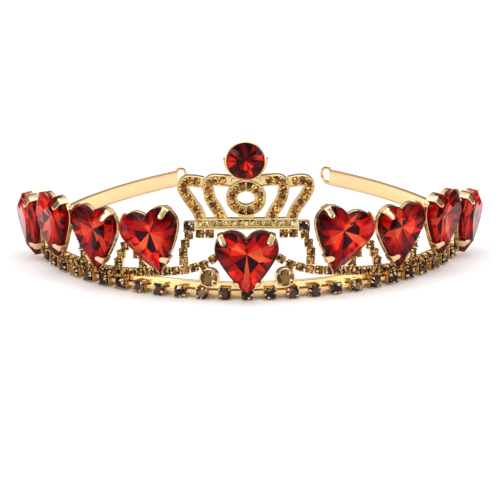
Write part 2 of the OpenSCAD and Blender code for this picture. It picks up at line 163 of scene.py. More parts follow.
def stack(rings, loop=False):
    """Closed skin over rings of points. A loop joins the last ring to the first one."""
    count = len(rings[0])
    verts = [Vector(p) for ring in rings for p in ring]
    faces = []
    last = len(rings) if loop else len(rings) - 1
    for k in range(last):
        below = k * count
        above = ((k + 1) % len(rings)) * count
        for i in range(count):
            j = (i + 1) % count
            faces.append((below + i, below + j, above + j, above + i))
    if not loop:
        faces.append(tuple(range(count)))
        faces.append(tuple(range((len(rings) - 1) * count, len(rings) * count)))
    return verts, faces


def turned(profile, steps=32, loop=False):
    """Profile of (radius, height) points turned about +Z."""
    turns = [math.tau * i / steps for i in range(steps)]
    return stack([[(r * math.cos(a), r * math.sin(a), z) for a in turns] for r, z in profile], loop)


def rounded_square(half, corner, z, per_corner=4):
    """Ring of points round a square with round corners."""
    ring = []
    for quarter in range(4):
        for i in range(per_corner + 1):
            a = math.pi / 2 * (quarter + i / per_corner)
            turn = math.pi / 2 * quarter + math.pi / 4
            cx = (half - corner) * math.copysign(1, math.cos(turn))
            cy = (half - corner) * math.copysign(1, math.sin(turn))
            ring.append((cx + corner * math.cos(a), cy + corner * math.sin(a), z))
    return ring


def rounded_section(width, height, corner, per_corner=3):
    """Flat section with round corners, centred on the origin."""
    points = []
    for quarter, (sx, sy) in enumerate(((1, 1), (-1, 1), (-1, -1), (1, -1))):
        for i in range(per_corner + 1):
            a = math.pi / 2 * (quarter + i / per_corner)
            x = sx * (width / 2 - corner) + corner * math.cos(a)
            y = sy * (height / 2 - corner) + corner * math.sin(a)
            points.append((x, y))
    return points


def round_section(radius, steps=14):
    turns = [math.tau * i / steps for i in range(steps)]
    return [(radius * math.cos(a), radius * math.sin(a)) for a in turns]


def sweep(path, up, section, closed=False, scales=None):
    """Section of (sideways, up) points carried along a flat path that up is square to."""
    path = [Vector(p) for p in path]
    up = Vector(up)
    rings = []
    last = len(path) - 1
    for i, here in enumerate(path):
        before = path[i - 1] if closed or i else here
        after = path[(i + 1) % len(path)] if closed or i < last else here
        side = up.cross((after - before).normalized())
        kx, ky = scales[i] if scales else (1, 1)
        rings.append([here + side * (x * kx) + up * (y * ky) for x, y in section])
    return stack(rings, closed)


def bead(radius):
    """Small domed grain of metal."""
    return turned([(radius, 0), (radius * 0.92, radius * 0.4), (radius * 0.66, radius * 0.76),
                   (radius * 0.25, radius * 0.97)], 8)


def cut_crown(girdle, table, low, mid, high):
    """Cut stone from a ring of 2n girdle points and n table points. Returns its facets' kinds too:
    0 table, 1 star facets, 2 and 3 the facets beside them, 4 girdle and back."""
    n = len(table)
    verts = [Vector((x, y, low)) for x, y in girdle]
    verts += [Vector((x, y, mid)) for x, y in girdle]
    verts += [Vector((x, y, high)) for x, y in table]
    faces = [tuple(range(2 * n))]
    kinds = [4]
    for i in range(2 * n):
        j = (i + 1) % (2 * n)
        faces.append((i, j, 2 * n + j, 2 * n + i))
        kinds.append(4)
    for i in range(n):
        here = 4 * n + i
        onward = 4 * n + (i + 1) % n
        g0 = 2 * n + 2 * i
        g1 = g0 + 1
        g2 = 2 * n + (2 * i + 2) % (2 * n)
        faces += [(here, g1, onward), (here, g0, g1), (onward, g1, g2)]
        kinds += [1, 2, 3]
    faces.append(tuple(range(4 * n, 5 * n)))
    kinds.append(0)
    return verts, faces, kinds


# ---- places -----------------------------------------------------------------

def at_ring(angle, r, z, tilt=0.0, lean=0.0):
    """Place at an angle round the head: +Z points outwards, +Y up and +X along the ring."""
    return (
        Matrix.Translation((0, RING_Y, 0))
        @ Matrix.Rotation(math.radians(angle), 4, "Z")
        @ Matrix.Translation((0, -r, z))
        @ Matrix.Rotation(math.radians(90 + tilt), 4, "X")
        @ Matrix.Rotation(math.radians(lean), 4, "Z")
    )


def at_heart(side, number):
    angle, z, lean, tilt, r, turn = HEARTS[number]
    return (
        at_ring(side * angle, r, z, tilt)
        @ Matrix.Rotation(math.radians(side * turn), 4, "Y")
        @ Matrix.Rotation(math.radians(-side * lean), 4, "Z")
    )


def on_plane(back):
    """Place on a flat plate that stands square to the front: +Z forwards, +Y up."""
    return Matrix.Translation((0, RING_Y - back, 0)) @ Matrix.Rotation(math.radians(90), 4, "X")


def rail_height(angle):
    for (a0, z0), (a1, z1) in zip(RAIL_LINE, RAIL_LINE[1:]):
        if angle <= a1:
            return z0 + (z1 - z0) * (angle - a0) / (a1 - a0)
    return RAIL_LINE[-1][1]


def rail_turn(angle):
    run = math.tau / 180 * (FINE_BACK + FINE_CUP_D)
    return math.degrees(math.atan2(rail_height(angle + 1) - rail_height(angle - 1), run))


# ---- pieces -----------------------------------------------------------------

# Angles, in degrees, over which an edge stays sharp
METAL_CREASE = 35
CRYSTAL_CREASE = 8
STONE_CREASE = 5


class Piece:
    """One piece of the real thing, put together from shapes and their finishes."""

    def __init__(self):
        self.verts = []
        self.faces = []
        self.marks = []

    def add(self, shape, place=None, mark=0):
        """mark is the number of the shape's finish, or one number for each face."""
        first = len(self.verts)
        verts, faces = shape[0], shape[1]
        self.verts += [place @ v if place else v for v in verts]
        self.faces += [tuple(first + i for i in face) for face in faces]
        self.marks += [mark] * len(faces) if isinstance(mark, int) else list(mark)

    def finish(self, name, nodes, materials, crease=METAL_CREASE):
        """Makes the object, which takes the place of those CAD nodes."""
        mesh = bpy.data.meshes.new(name)
        mesh.from_pydata([v * MM for v in self.verts], [], self.faces)
        for material in materials:
            mesh.materials.append(material)
        mesh.polygons.foreach_set("material_index", self.marks)
        work = bmesh.new()
        work.from_mesh(mesh)
        bmesh.ops.recalc_face_normals(work, faces=work.faces)
        work.to_mesh(mesh)
        work.free()
        mesh.shade_smooth()
        mesh.set_sharp_from_angle(angle=math.radians(crease))
        made = bpy.data.objects.new(name, mesh)
        bpy.context.scene.collection.objects.link(made)
        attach(made, "root")
        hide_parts(*nodes)


# ---- materials --------------------------------------------------------------

class Wire:
    """An output socket that takes part in sums, so that shader maths reads as maths."""

    def __init__(self, tree, socket):
        self.tree = tree
        self.socket = socket

    def _math(self, operation, a, b):
        return self.tree.node("ShaderNodeMath", {"operation": operation}, {0: a, 1: b})

    def __add__(self, other):
        return self._math("ADD", self, other)

    def __radd__(self, other):
        return self._math("ADD", other, self)

    def __mul__(self, other):
        return self._math("MULTIPLY", self, other)

    def __rmul__(self, other):
        return self._math("MULTIPLY", other, self)


class Tree:
    """The nodes of one material or world."""

    def __init__(self, owner):
        owner.use_nodes = True
        self.nodes = owner.node_tree.nodes
        self.links = owner.node_tree.links
        self.nodes.clear()

    def raw(self, kind, settings=None, inputs=None):
        """Makes a node: its settings first, then the values or links of its sockets."""
        made = self.nodes.new(kind)
        for key, value in (settings or {}).items():
            if key == "stops":
                self._stops(made, value)
            else:
                setattr(made, key, value)
        for key, value in (inputs or {}).items():
            if isinstance(value, Wire):
                self.links.new(value.socket, made.inputs[key])
            else:
                made.inputs[key].default_value = value
        return made

    def node(self, kind, settings=None, inputs=None, output=0):
        return Wire(self, self.raw(kind, settings, inputs).outputs[output])

    def _stops(self, made, stops):
        ramp = made.color_ramp.elements
        while len(ramp) < len(stops):
            ramp.new(0.5)
        for element, (position, colour) in zip(ramp, stops):
            element.position = position
            element.color = (*colour, 1)

    def blend(self, factor, a, b):
        """Colour a where factor is 0 and colour b where it is 1."""
        a = a if isinstance(a, Wire) else (*a, 1)
        b = b if isinstance(b, Wire) else (*b, 1)
        return self.node("ShaderNodeMix", {"data_type": "RGBA"}, {0: factor, 6: a, 7: b}, 2)


def noise(tree, scale, detail=2.0):
    """Soft cloudy pattern that stays with the metal, in object space."""
    where = tree.node("ShaderNodeTexCoord", output=3)
    return tree.node("ShaderNodeTexNoise", inputs={"Vector": where, "Scale": scale, "Detail": detail})


# How far back, in metres, the band's colour starts to warm with a painted reflection, and where it's fully
# warm
ENDS_FROM = 0.025
ENDS_TO = 0.066


def metal(name, light, deep, roughness, spread, grain, bump, ends=None):
    """Plated metal: two close tones, a little unevenness in its polish and a faint ripple.

    ends is the painted reflection tone that the colour warms to at the back, where the strip ends.
    """
    material = bpy.data.materials.new(name)
    tree = Tree(material)
    cloud = noise(tree, grain)
    ripple = noise(tree, grain * 3, 1.0)
    normal = tree.node("ShaderNodeBump", inputs={"Height": ripple, "Strength": bump, "Distance": 0.0001})
    tone = tree.blend(cloud, light, deep)
    if ends:
        where = tree.node("ShaderNodeTexCoord", output=3)
        back = tree.node("ShaderNodeSeparateXYZ", inputs={0: where}, output=1)
        painted_reflection_share = tree.node("ShaderNodeMapRange", inputs={0: back, 1: ENDS_FROM, 2: ENDS_TO})
        tone = tree.blend(painted_reflection_share, tone, ends)
    surface = tree.node("ShaderNodeBsdfPrincipled", inputs={
        "Base Color": tone,
        "Metallic": 1.0,
        "Roughness": roughness + spread * cloud,
        "Normal": normal,
    })
    tree.raw("ShaderNodeOutputMaterial", inputs={"Surface": surface})
    return material


def facet(name, light, deep, gloss):
    """One tone of a foil-backed cut stone, a painted reflection or glint in its facets, a little uneven
    from facet to facet.
    """
    material = bpy.data.materials.new(name)
    tree = Tree(material)
    surface = tree.node("ShaderNodeBsdfPrincipled", inputs={
        "Base Color": tree.blend(noise(tree, 420.0), light, deep),
        "Metallic": 0.25,
        "Roughness": 0.1,
        "Specular IOR Level": gloss,
    })
    tree.raw("ShaderNodeOutputMaterial", inputs={"Surface": surface})
    return material


def clear_glass(name, tint):
    """Polished crystal that lets its foiled back show."""
    material = bpy.data.materials.new(name)
    tree = Tree(material)
    surface = tree.node("ShaderNodeBsdfPrincipled", inputs={
        "Base Color": (*tint, 1),
        "Roughness": 0.0,
        "IOR": 1.3,
        "Transmission Weight": 1.0,
        "Specular IOR Level": 0.2,
        "Specular Tint": (0.5, 0.42, 0.42, 1),
    })
    tree.raw("ShaderNodeOutputMaterial", inputs={"Surface": surface})
    return material


# Two close colours for each tone of each kind of stone. Each tone is the stone's own colour with a painted
# reflection: the light, middle and dark tones paint bright and dark reflections in its facets, and the
# spark tones are painted glints.
PAINTED_STONE_TONES = {
    "heart_orange": ((1.0, 0.34, 0.14), (1.0, 0.20, 0.07)),
    "heart_bright": ((0.94, 0.070, 0.018), (0.80, 0.036, 0.012)),
    "heart_mid": ((0.54, 0.016, 0.010), (0.38, 0.008, 0.008)),
    "heart_deep": ((0.20, 0.004, 0.010), (0.12, 0.002, 0.008)),
    "heart_dark": ((0.045, 0.002, 0.014), (0.020, 0.001, 0.008)),
    "wine_spark": ((1.0, 0.10, 0.04), (0.85, 0.05, 0.02)),
    "wine_light": ((0.50, 0.010, 0.012), (0.34, 0.006, 0.010)),
    "wine_mid": ((0.16, 0.003, 0.008), (0.10, 0.002, 0.006)),
    "wine_dark": ((0.035, 0.001, 0.004), (0.015, 0.0, 0.002)),
    "smoke_spark": ((0.95, 0.76, 0.54), (0.80, 0.54, 0.32)),
    "smoke_light": ((0.28, 0.145, 0.070), (0.18, 0.085, 0.042)),
    "smoke_mid": ((0.085, 0.042, 0.026), (0.050, 0.024, 0.017)),
    "smoke_dark": ((0.014, 0.007, 0.007), (0.006, 0.003, 0.004)),
    "topaz_spark": ((1.0, 0.78, 0.36), (0.86, 0.54, 0.17)),
    "topaz_light": ((0.44, 0.23, 0.058), (0.31, 0.15, 0.034)),
    "topaz_mid": ((0.165, 0.078, 0.020), (0.105, 0.048, 0.013)),
    "topaz_dark": ((0.040, 0.018, 0.006), (0.020, 0.009, 0.004)),
    "amber_spark": ((1.0, 0.76, 0.26), (0.90, 0.56, 0.12)),
    "amber_light": ((0.62, 0.28, 0.055), (0.48, 0.19, 0.032)),
    "amber_mid": ((0.30, 0.105, 0.018), (0.21, 0.070, 0.012)),
    "amber_dark": ((0.085, 0.026, 0.006), (0.045, 0.014, 0.004)),
    "champagne_spark": ((1.0, 0.84, 0.46), (0.95, 0.66, 0.24)),
    "champagne_light": ((0.46, 0.27, 0.07), (0.34, 0.18, 0.04)),
    "champagne_mid": ((0.22, 0.115, 0.028), (0.15, 0.072, 0.017)),
    "champagne_dark": ((0.075, 0.042, 0.012), (0.040, 0.022, 0.007)),
    "pale_spark": ((1.0, 0.93, 0.68), (0.95, 0.82, 0.48)),
    "pale_light": ((0.74, 0.56, 0.24), (0.60, 0.43, 0.16)),
    "pale_mid": ((0.48, 0.33, 0.12), (0.36, 0.23, 0.075)),
    "pale_dark": ((0.22, 0.135, 0.042), (0.14, 0.080, 0.024)),
}


def make_finishes():
    made = {}
    for name, (light, deep) in PAINTED_STONE_TONES.items():
        under_glass = name.startswith(("heart", "wine"))
        made[name] = facet(name + "_facet", light, deep, 0.0 if under_glass else 0.25)
    # The band's ends tone is a painted reflection, warmer towards the back of the arms.
    made["band"] = metal(
        "polished_band_gold", (0.96, 0.75, 0.38), (0.88, 0.64, 0.28),
        roughness=0.10, spread=0.10, grain=60, bump=0.05, ends=(0.95, 0.60, 0.34))
    made["bright"] = metal(
        "bright_setting_gold", (0.90, 0.66, 0.40), (0.72, 0.47, 0.23),
        roughness=0.16, spread=0.12, grain=180, bump=0.1)
    # Darker, more orange gold for the cup chains and end loops: partly an antique tone, partly painted
    # shade.
    made["cup"] = metal(
        "cup_chain_gold", (0.86, 0.56, 0.22), (0.62, 0.36, 0.11),
        roughness=0.16, spread=0.12, grain=180, bump=0.1)
    made["cast"] = metal(
        "cast_plate_gold", (0.80, 0.62, 0.31), (0.60, 0.42, 0.17),
        roughness=0.22, spread=0.14, grain=260, bump=0.25)
    # The table glass is a paler copy and the crown glass a deeper copy of the one red glass: a painted
    # lighter table and painted shade at the rim.
    made["table_glass"] = clear_glass("red_crystal_table_glass", (1.0, 0.50, 0.42))
    made["crown_glass"] = clear_glass("red_crystal_crown_glass", (0.86, 0.14, 0.14))
    made["wine_glass"] = clear_glass("wine_crystal_glass", (0.95, 0.34, 0.30))
    return made


finishes = make_finishes()


# Painted glint, light reflection, middle and dark reflection tones of one kind of stone
def tones(family):
    return [finishes[family + "_" + tone] for tone in ("spark", "light", "mid", "dark")]


# ---- headband and end loops -------------------------------------------------

def arm_path(side, first, last, steps):
    reach = math.radians(BAND_HALF_ANGLE)
    cx = (BAND_R - ARM_R) * math.sin(reach)
    cy = -(BAND_R - ARM_R) * math.cos(reach)
    path = []
    for i in range(steps + 1):
        a = math.radians(first + (last - first) * i / steps)
        path.append((side * (cx + ARM_R * math.sin(a)), RING_Y + cy - ARM_R * math.cos(a), 0))
    return path


def headband():
    path = arm_path(-1, BAND_HALF_ANGLE + ARM_ANGLE, BAND_HALF_ANGLE, 30)[:-1]
    for i in range(181):
        a = math.radians(-BAND_HALF_ANGLE + 2 * BAND_HALF_ANGLE * i / 180)
        path.append((BAND_R * math.sin(a), RING_Y - BAND_R * math.cos(a), 0))
    path += arm_path(1, BAND_HALF_ANGLE, BAND_HALF_ANGLE + ARM_ANGLE, 30)[1:]
    section = [(x, z + BAND_H / 2) for x, z in rounded_section(BAND_T, BAND_H, 0.3)]
    band = Piece()
    band.add(sweep(path, (0, 0, 1), section))
    band.finish("headband_strip", ["headband"], [finishes["band"]])


def end_loop(side, name):
    """Wire bow with both legs against the end of the strip."""
    end = math.radians(BAND_HALF_ANGLE + ARM_ANGLE)
    tip = Vector(arm_path(side, BAND_HALF_ANGLE + ARM_ANGLE, BAND_HALF_ANGLE + ARM_ANGLE, 1)[0])
    onward = Vector((side * math.cos(end), math.sin(end), 0))
    middle = tip + Vector((0, 0, BAND_H / 2 + LOOP_RISE))
    path = [middle + Vector((0, 0, LOOP_H / 2))]
    for i in range(13):
        a = math.pi / 2 - math.pi * i / 12
        bow = onward * (LOOP_LEG + LOOP_H / 2 * math.cos(a))
        path.append(middle + bow + Vector((0, 0, LOOP_H / 2 * math.sin(a))))
    path.append(middle - Vector((0, 0, LOOP_H / 2)))
    flat = onward.cross(Vector((0, 0, 1)))
    loop = Piece()
    loop.add(sweep(path, flat, round_section(LOOP_WIRE_R)))
    loop.finish(name + "_end_bow", [name + "_end_loop"], [finishes["cup"]])


# ---- claw-set small stones --------------------------------------------------

def claw_rise(width):
    return 0.65 if width > 3 else 0.5


def stone_rise(width):
    return 0.55 if width > 3 else 0.4


def claw_cup(piece, width, depth, place):
    """Square pressed cup with rounded corners and four claws folded in over the stone."""
    half = width / 2
    rim = depth - 0.5
    rings = [
        rounded_square(half - 0.3, 0.3, 0.0),
        rounded_square(half - 0.12, 0.42, 0.35),
        rounded_square(half - 0.04, 0.42, rim - 0.08),
        rounded_square(half - 0.1, 0.38, rim),
        rounded_square(half - 0.28, 0.2, rim),
        rounded_square(half - 0.4, 0.2, 0.4),
    ]
    piece.add(stack(rings), place)
    rise = claw_rise(width)
    section = rounded_section(0.34, 0.6, 0.14, 2)
    scales = [(1, 1.1), (1, 1.05), (0.95, 0.95), (0.7, 0.6)]
    corner = (half - 0.2) * math.sqrt(2) - 0.12
    path = [(corner - 0.06, 0, depth - 0.8), (corner, 0, depth - 0.1),
            (corner - 0.1, 0, depth + rise * 0.6), (corner - 0.34, 0, depth + rise - 0.14)]
    for quarter in range(4):
        turn = Matrix.Rotation(math.radians(45 + 90 * quarter), 4, "Z")
        piece.add(sweep(path, (0, 1, 0), section, scales=scales), place @ turn)


def cut_points(radius, count, square, start=0.0):
    """Points round a stone, between a circle (square 0) and a cushion (square 1)."""
    points = []
    for i in range(count):
        a = start + math.tau * i / count
        far = 1 + square * 0.16 * (1 - math.cos(4 * a)) / 2
        points.append((radius * far * math.cos(a), radius * far * math.sin(a)))
    return points


# Tones of one stone's facets, by number: 0 spark, 1 light, 2 middle, 3 dark. They paint a glint, a bright
# reflection, a middle one and a dark reflection.
TABLE_REFLECTION_TONES = (2, 3, 1, 2, 3, 2, 3)
FACET_REFLECTION_TONES = (3, 2, 0, 3, 1, 2, 3, 0, 2, 3, 1, 2, 3)


def tone_of(stone, number, kind):
    """Painted reflection tone of one facet, settled by its place so that neighbours differ; the girdle and
    back always take the painted dark.
    """
    if kind == 0:
        return TABLE_REFLECTION_TONES[stone * 3 % 7]
    if kind == 4:
        return 3
    return FACET_REFLECTION_TONES[(stone * 7 + number * 5 + kind * 3 + stone * number % 4) % 13]


def cut_stone(piece, radius, place, number, low, mid, high, square=0.0, sides=8, table=0.6):
    """Faceted stone from the height of its back, over its girdle's, to its table's."""
    girdle = cut_points(radius, 2 * sides, square)
    top = cut_points(radius * table, sides, square * 0.6)
    verts, faces, kinds = cut_crown(girdle, top, low, mid, high)
    piece.add((verts, faces), place, [tone_of(number, i, kind) for i, kind in enumerate(kinds)])


def chaton(piece, width, depth, place, number, square=0.0):
    """Stone of a claw cup of that width and depth."""
    radius = width / 2 - 0.14
    table = 0.6 if width > 3 else 0.5
    high = depth + stone_rise(width)
    cut_stone(piece, radius, place, number, depth - 0.42, depth, high, square, table=table)


def link_bar(piece, length, height, low, high, place):
    ring = rounded_section(length, height, 0.1, 2)
    piece.add(stack([[(x, y, z) for x, y in ring] for z in (low, high)]), place)


def base_chain():
    cups = Piece()
    stones = Piece()
    links = Piece()
    gap = 2 * (BAND_OUT + 0.3) * math.sin(math.radians(BASE_STEP / 2)) - BASE_CUP_W
    for n in range(-BASE_EACH_SIDE, BASE_EACH_SIDE + 1):
        place = at_ring(n * BASE_STEP, BAND_OUT, BASE_CUP_W / 2)
        claw_cup(cups, BASE_CUP_W, BASE_CUP_D, place)
        chaton(stones, BASE_CUP_W, BASE_CUP_D, place, n + BASE_EACH_SIDE, square=1.0)
        if n < BASE_EACH_SIDE:
            bar = at_ring((n + 0.5) * BASE_STEP, BAND_OUT + 0.3, BASE_CUP_W / 2 + 0.15)
            link_bar(links, gap - 0.04, 0.9, 0.0, 0.9, bar)
    cups.finish("base_chain_claw_cups", ["base_chain_cups"], [finishes["cup"]])
    links.finish("base_chain_bars", ["base_chain_links"], [finishes["bright"]])
    stones.finish(
        "base_chain_chatons", ["base_chain_stones"], tones("smoke"), STONE_CREASE)


def fine_chain(name, side, runs, node_chain, node_stones, on_rail=False):
    """Fine cup chain along runs of (angle, height) places, with its links and stones.

    Cups on the rail are turned to its slope, and all others stand upright.
    """
    chain = Piece()
    stones = Piece()
    number = 0
    for run in runs:
        for i, (angle, z) in enumerate(run):
            lean = side * rail_turn(angle) if on_rail else 0.0
            place = at_ring(side * angle, FINE_BACK, z, 0.0, lean)
            claw_cup(chain, FINE_CUP_W, FINE_CUP_D, place)
            chaton(stones, FINE_CUP_W, FINE_CUP_D, place, number)
            number += 1
            if i + 1 < len(run):
                nxt = run[i + 1]
                bar = at_ring(side * (angle + nxt[0]) / 2, FINE_BACK, (z + nxt[1]) / 2, 0.0, lean)
                link_bar(chain, 1.0, 0.7, 0.05, 0.45, bar)
    chain.finish(name + "_cup_chain", [node_chain], [finishes["cup"]])
    stones.finish(name + "_chatons", [node_stones], tones("topaz"), STONE_CREASE)


def fine_chains():
    angles = [RAIL_START + i * RAIL_STEP for i in range(RAIL_COUNT)]
    rail = [(angle, rail_height(angle)) for angle in angles]
    for side, word in ((-1, "left"), (1, "right")):
        fine_chain(word + "_rail", side, [rail], word + "_rail_chain", word + "_rail_stones", on_rail=True)
        fine_chain(word + "_column", side, [COLUMN], word + "_column_chain", word + "_column_stones")
        fine_chain(word + "_bridge", side, [BRIDGE], word + "_bridge_chain", word + "_bridge_stones")
        fine_chain(word + "_legs", side, LEGS, word + "_leg_chains", word + "_leg_stones")


def corner_stones():
    for side, word in ((-1, "left"), (1, "right")):
        place = at_ring(side * CORNER[0], CORNER_BACK, CORNER[1])
        cup = Piece()
        claw_cup(cup, CORNER_CUP_W, CORNER_CUP_D, place)
        cup.finish(word + "_corner_claw_cup", [word + "_corner_cup"], [finishes["bright"]])
        stone = Piece()
        chaton(stone, CORNER_CUP_W, CORNER_CUP_D, place, 6, square=1.0)
        stone.finish(
            word + "_corner_chaton", [word + "_corner_stone"], tones("smoke"), STONE_CREASE)


def drop_stones():
    """Round stones beside the middle heart's tip, each in a round cup with four claws."""
    r = DROP_D / 2
    top = DROP_CUP_D
    wall = [(r - 0.1, 0), (r, 0.1), (r, top - 0.1), (r - 0.1, top), (r - 0.35, top),
            (r - 0.4, top - 0.1), (r - 0.4, 0.5), (0.3, 0.5), (0.3, 0.0)]
    claw = [(r - 0.2, 0, top - 0.3), (r - 0.18, 0, top + 0.25), (r - 0.35, 0, top + 0.58),
            (r - 0.62, 0, top + 0.72)]
    section = rounded_section(0.34, 0.9, 0.14, 2)
    scales = [(1, 1), (1, 1), (1, 0.95), (0.7, 0.6)]
    for side, word in ((-1, "left"), (1, "right")):
        place = at_ring(side * DROP[0], DROP_BACK, DROP[1])
        cup = Piece()
        cup.add(turned(wall, 40, loop=True), place)
        for quarter in range(4):
            turn = Matrix.Rotation(math.radians(45 + 90 * quarter), 4, "Z")
            cup.add(sweep(claw, (0, 1, 0), section, scales=scales), place @ turn)
        cup.finish(word + "_drop_claw_cup", [word + "_drop_cup"], [finishes["bright"]])
        stone = Piece()
        cut_stone(stone, r - 0.44, place, 1, low=0.6, mid=top + 0.15, high=top + 1.1, table=0.55)
        stone.finish(
            word + "_drop_chaton", [word + "_drop_stone"], tones("champagne"),
            STONE_CREASE)


# ---- heart crystals ---------------------------------------------------------

def heart_line(grow):
    """Close-set points down one half of the heart, from the notch to the tip."""
    first = math.acos(-LOBE_X / (LOBE_R + grow))
    last = -math.acos(-SIDE_C[0] / (SIDE_R + grow))
    points = []
    for i in range(61):
        a = first + (-SIDE_FROM - first) * i / 60
        points.append(Vector((LOBE_X + (LOBE_R + grow) * math.cos(a), (LOBE_R + grow) * math.sin(a))))
    for i in range(1, 41):
        a = -SIDE_FROM + (last + SIDE_FROM) * i / 40
        x = SIDE_C[0] + (SIDE_R + grow) * math.cos(a)
        points.append(Vector((x, SIDE_C[1] + (SIDE_R + grow) * math.sin(a))))
    return points


def heart_points(grow, half_count):
    """2 * half_count points round the heart, evenly spaced, the notch first and the tip half-way."""
    line = heart_line(grow)
    lengths = [0.0]
    for a, b in zip(line, line[1:]):
        lengths.append(lengths[-1] + (b - a).length)
    half = []
    k = 0
    for i in range(half_count + 1):
        want = lengths[-1] * i / half_count
        while k < len(line) - 2 and lengths[k + 1] < want:
            k += 1
        part = (want - lengths[k]) / (lengths[k + 1] - lengths[k])
        half.append(line[k].lerp(line[k + 1], min(part, 1.0)))
    half[0].x = 0
    half[-1].x = 0
    return half + [Vector((-p.x, p.y)) for p in half[-2:0:-1]]


def about_middle(points, scale):
    return [HEART_MID + (p - HEART_MID) * scale for p in points]


def lifted(points, z):
    return [(p.x, p.y, z) for p in points]


# Points down one half of a heart: for the smooth trays, and for the facets of the back
FINE_HALF = 36
FACET_HALF = 14


def heart_tray(piece, place):
    """Pressed tray with a rolled rim and a heart-shaped window in its floor."""
    rings = [
        lifted(heart_points(0.05, FINE_HALF), 0.0),
        lifted(heart_points(0.15, FINE_HALF), 0.12),
        lifted(heart_points(0.15, FINE_HALF), TRAY_H - 0.1),
        lifted(heart_points(0.05, FINE_HALF), TRAY_H),
        lifted(heart_points(-0.36, FINE_HALF), TRAY_H),
        lifted(heart_points(-0.4, FINE_HALF), 0.5),
        lifted(about_middle(heart_points(-0.5, FINE_HALF), 0.62), 0.5),
        lifted(about_middle(heart_points(-0.5, FINE_HALF), 0.6), 0.0),
    ]
    piece.add(stack(rings, loop=True), place)


def heart_claw(piece, place, point, normal, reach, slope, sizes):
    """Claw that stands against the tray and, with a reach, folds over the crystal as a finger."""
    width, finger = sizes
    g = TRAY_H + GIRDLE_H
    x = 0.15 + CLAW_T / 2 - 0.02
    path = [(x, 0, 0.55), (x, 0, g - 0.25)]
    scales = [(1, 1), (1, 1)]
    if reach:
        path.append((x, 0, g + 0.05))
        scales.append((1, 0.7 + 0.3 * finger))
        path.append((x - 0.22, 0, g + 0.33))
        scales.append((1, 0.4 + 0.6 * finger))
        for i in range(9):
            far = -0.15 - (reach - 0.15) * i / 8
            left = reach + far
            wide = finger * math.sqrt(max(1 - max(1 - left / (finger * width / 2), 0) ** 2, 0.04))
            path.append((far, 0, g + 0.40 - far * slope))
            scales.append((0.62 + 0.38 * wide, wide))
    else:
        path.append((x - 0.02, 0, g - 0.05))
        scales.append((0.8, 0.85))
    section = rounded_section(CLAW_T, width, 0.2, 3)
    turn = Matrix.Translation((point[0], point[1], 0)) @ Matrix.Rotation(normal, 4, "Z")
    piece.add(sweep(path, (0, 1, 0), section, scales=scales), place @ turn)


def heart_setting(name, node, place, inner, post=None):
    """inner is the side whose claws fold over the crystal: 1, -1, or 0 for both."""
    setting = Piece()
    heart_tray(setting, place)
    shoulder = math.radians(50)
    low = -math.acos(-SIDE_C[0] / SIDE_R) + math.radians(6)
    both = inner == 0
    sizes = CENTRE_CLAW if both else SIDE_CLAW
    steeper = math.radians(14) if both else 0.0
    for side in (-1, 1):
        reach = 1 if inner in (0, side) else 0
        for middle, radius, angle, turn, length, slope in (
            ((LOBE_X, 0), LOBE_R, shoulder, steeper, 2.3, 0.59),
            (SIDE_C, SIDE_R, low, 0.0, 0.8 if both else 1.4, 0.76),
        ):
            x = side * (middle[0] + radius * math.cos(angle))
            y = middle[1] + radius * math.sin(angle)
            normal = angle + turn if side > 0 else math.pi - angle - turn
            heart_claw(setting, place, (x, y), normal, length * reach, slope, sizes)
    if post:
        setting.add(turned([(POST_R, 0), (POST_R, POST_H)], 20), post)
    setting.finish(name, [node], [finishes["bright"]])


# Finishes of a heart crystal, in the order that its facets' marks number them; the tones from orange to
# dark are painted reflections in the foiled back
HEART_TONES = ["table_glass", "heart_orange", "heart_bright", "heart_mid", "heart_deep", "heart_dark",
               "crown_glass"]
ORANGE, BRIGHT, MID, DEEP, DARK, CROWN = 1, 2, 3, 4, 5, 6
# Painted reflection tones round the foiled back, from the notch over the +X lobe: two facets at the
# rim, one further in, and the one that reaches the middle
BACK_REFLECTION_TONES = [
    (DARK, DEEP, MID, MID), (DARK, MID, MID, BRIGHT), (DEEP, MID, BRIGHT, ORANGE),
    (MID, DEEP, ORANGE, ORANGE), (DEEP, DARK, BRIGHT, DARK), (MID, BRIGHT, BRIGHT, DARK),
    (BRIGHT, MID, ORANGE, ORANGE), (ORANGE, MID, BRIGHT, DARK), (MID, BRIGHT, MID, DARK),
    (DEEP, MID, MID, MID), (DEEP, DARK, MID, BRIGHT), (DARK, DEEP, BRIGHT, ORANGE),
    (DEEP, DARK, MID, BRIGHT), (DEEP, DARK, DEEP, DEEP),
]
# How far that order is turned for hearts 1 to 4 of each side
BACK_TURNS = {-1: (6, 9, 2, 12), 1: (5, 11, 8, 3)}


def heart_shell(piece, place):
    """Clear body: back, girdle, crown facets and table."""
    full = heart_points(0, FACET_HALF * 2)
    inner = heart_points(-0.5, FACET_HALF * 2)
    top = about_middle(full[::4], TABLE_SCALE)
    n = len(top)
    count = len(full)
    rings = [lifted(about_middle(inner, BACK_SCALE), 0.75), lifted(inner, TRAY_H), lifted(full, TRAY_H),
             lifted(full, TRAY_H + GIRDLE_H)]
    verts, faces = stack(rings)
    faces.pop()
    first = len(verts)
    verts += [Vector(p) for p in lifted(top, TRAY_H + GIRDLE_H + CROWN_H)]
    edge = 3 * count
    for i in range(n):
        here = first + i
        onward = first + (i + 1) % n
        g = [edge + (4 * i + k) % count for k in range(5)]
        faces += [(here, g[2], onward), (here, g[0], g[1], g[2]), (onward, g[2], g[3], g[4])]
    faces.append(tuple(first + i for i in range(n)))
    piece.add((verts, faces), place, [CROWN] * (len(faces) - 1) + [0])


